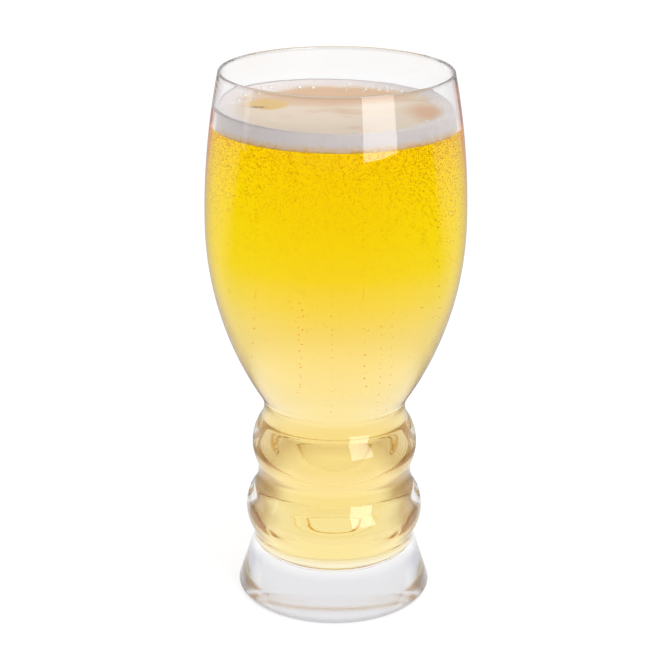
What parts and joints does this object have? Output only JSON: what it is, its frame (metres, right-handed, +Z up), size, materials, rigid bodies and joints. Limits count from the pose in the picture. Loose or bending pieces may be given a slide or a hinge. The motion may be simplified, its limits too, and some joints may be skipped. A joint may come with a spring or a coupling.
{
  "type": "cider glass",
  "caption": "Footed drinking glass with a barrel bowl, rippled rings and a solid flared foot, filled with golden cider under a thin head of foam.",
  "frame": {"origin": "middle of the base, on the surface that the glass stands on", "axes": "+Z up along the glass's axis, from the foot to the rim; the glass is round, so X and Y are level and free"},
  "size_m": [0.0898, 0.0898, 0.19],
  "materials": {
    "glass": "clear, fire-polished",
    "cider": "clear golden liquid with fine bubbles",
    "foam": "fine white foam, thin and tan in the middle"
  },
  "bodies": {
    "root": {"glass": "glass", "cider": "cider", "foam_head": "foam"}
  },
  "joints": []
}
